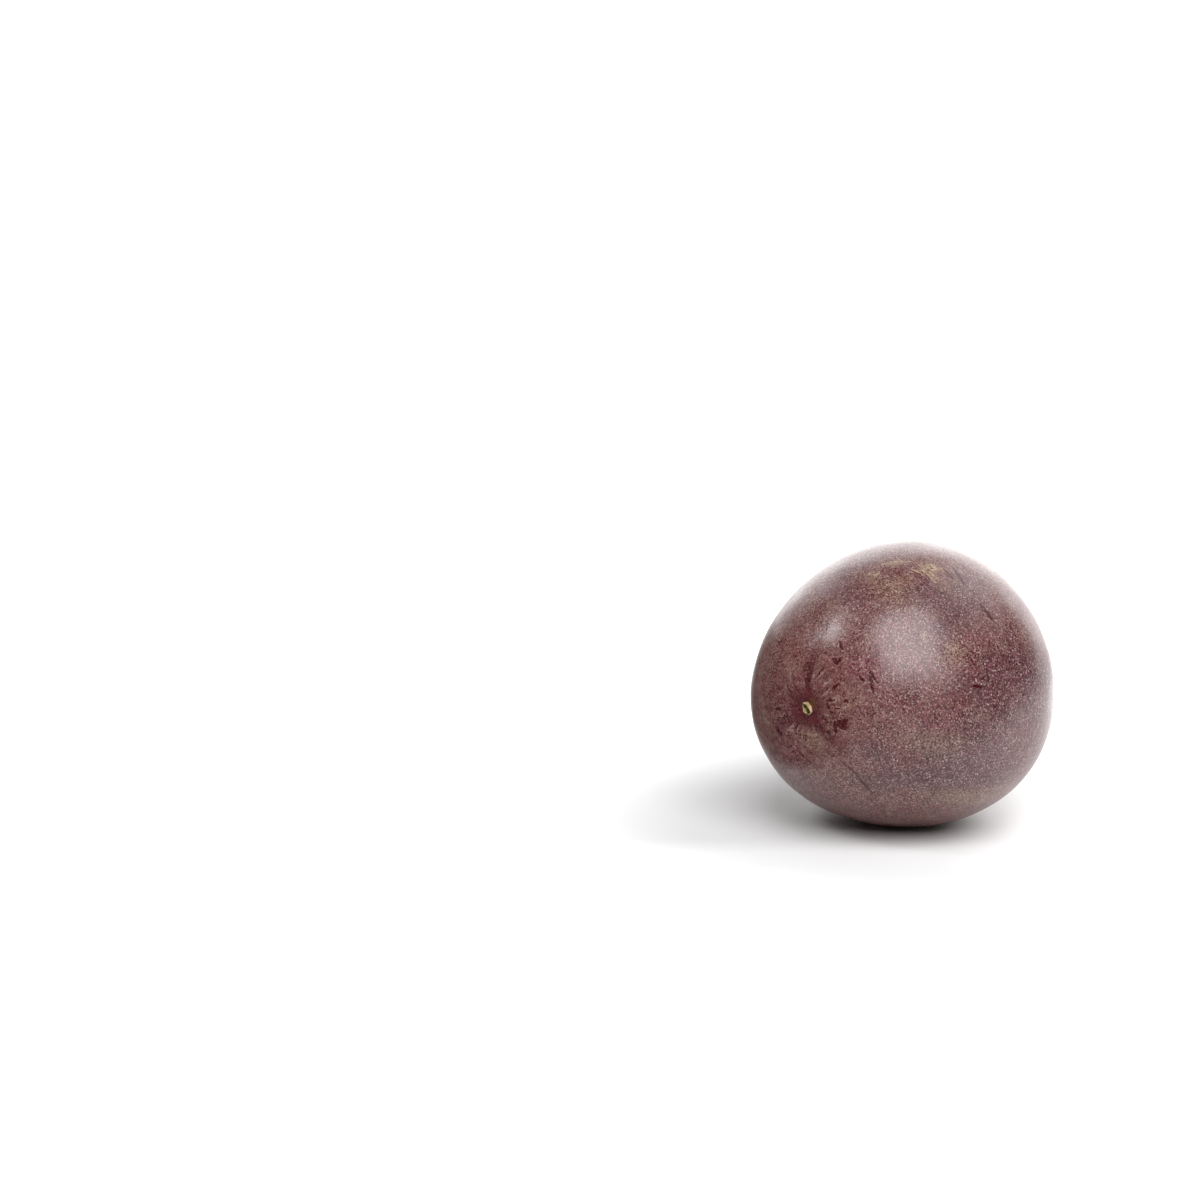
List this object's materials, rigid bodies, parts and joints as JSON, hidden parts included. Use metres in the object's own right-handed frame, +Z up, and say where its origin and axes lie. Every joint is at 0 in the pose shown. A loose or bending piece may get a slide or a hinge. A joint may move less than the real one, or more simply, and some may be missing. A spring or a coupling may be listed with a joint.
{
  "type": "passion fruit",
  "caption": "Whole ripe purple passion fruit lying on its side, with a low stalk stump at the stem end and a small flower knob at the other.",
  "frame": {"origin": "centre of the small flat spot that the fruit rests on", "axes": "+Z up, the stem end points along -Y and the blossom end along +Y, so the fruit's own axis lies nearly level"},
  "size_m": [0.0603, 0.0618, 0.0572],
  "materials": {
    "rind": "smooth, waxy purple-brown rind with fine pale specks and a satin shine"
  },
  "bodies": {
    "root": {"fruit": "rind"}
  },
  "joints": []
}
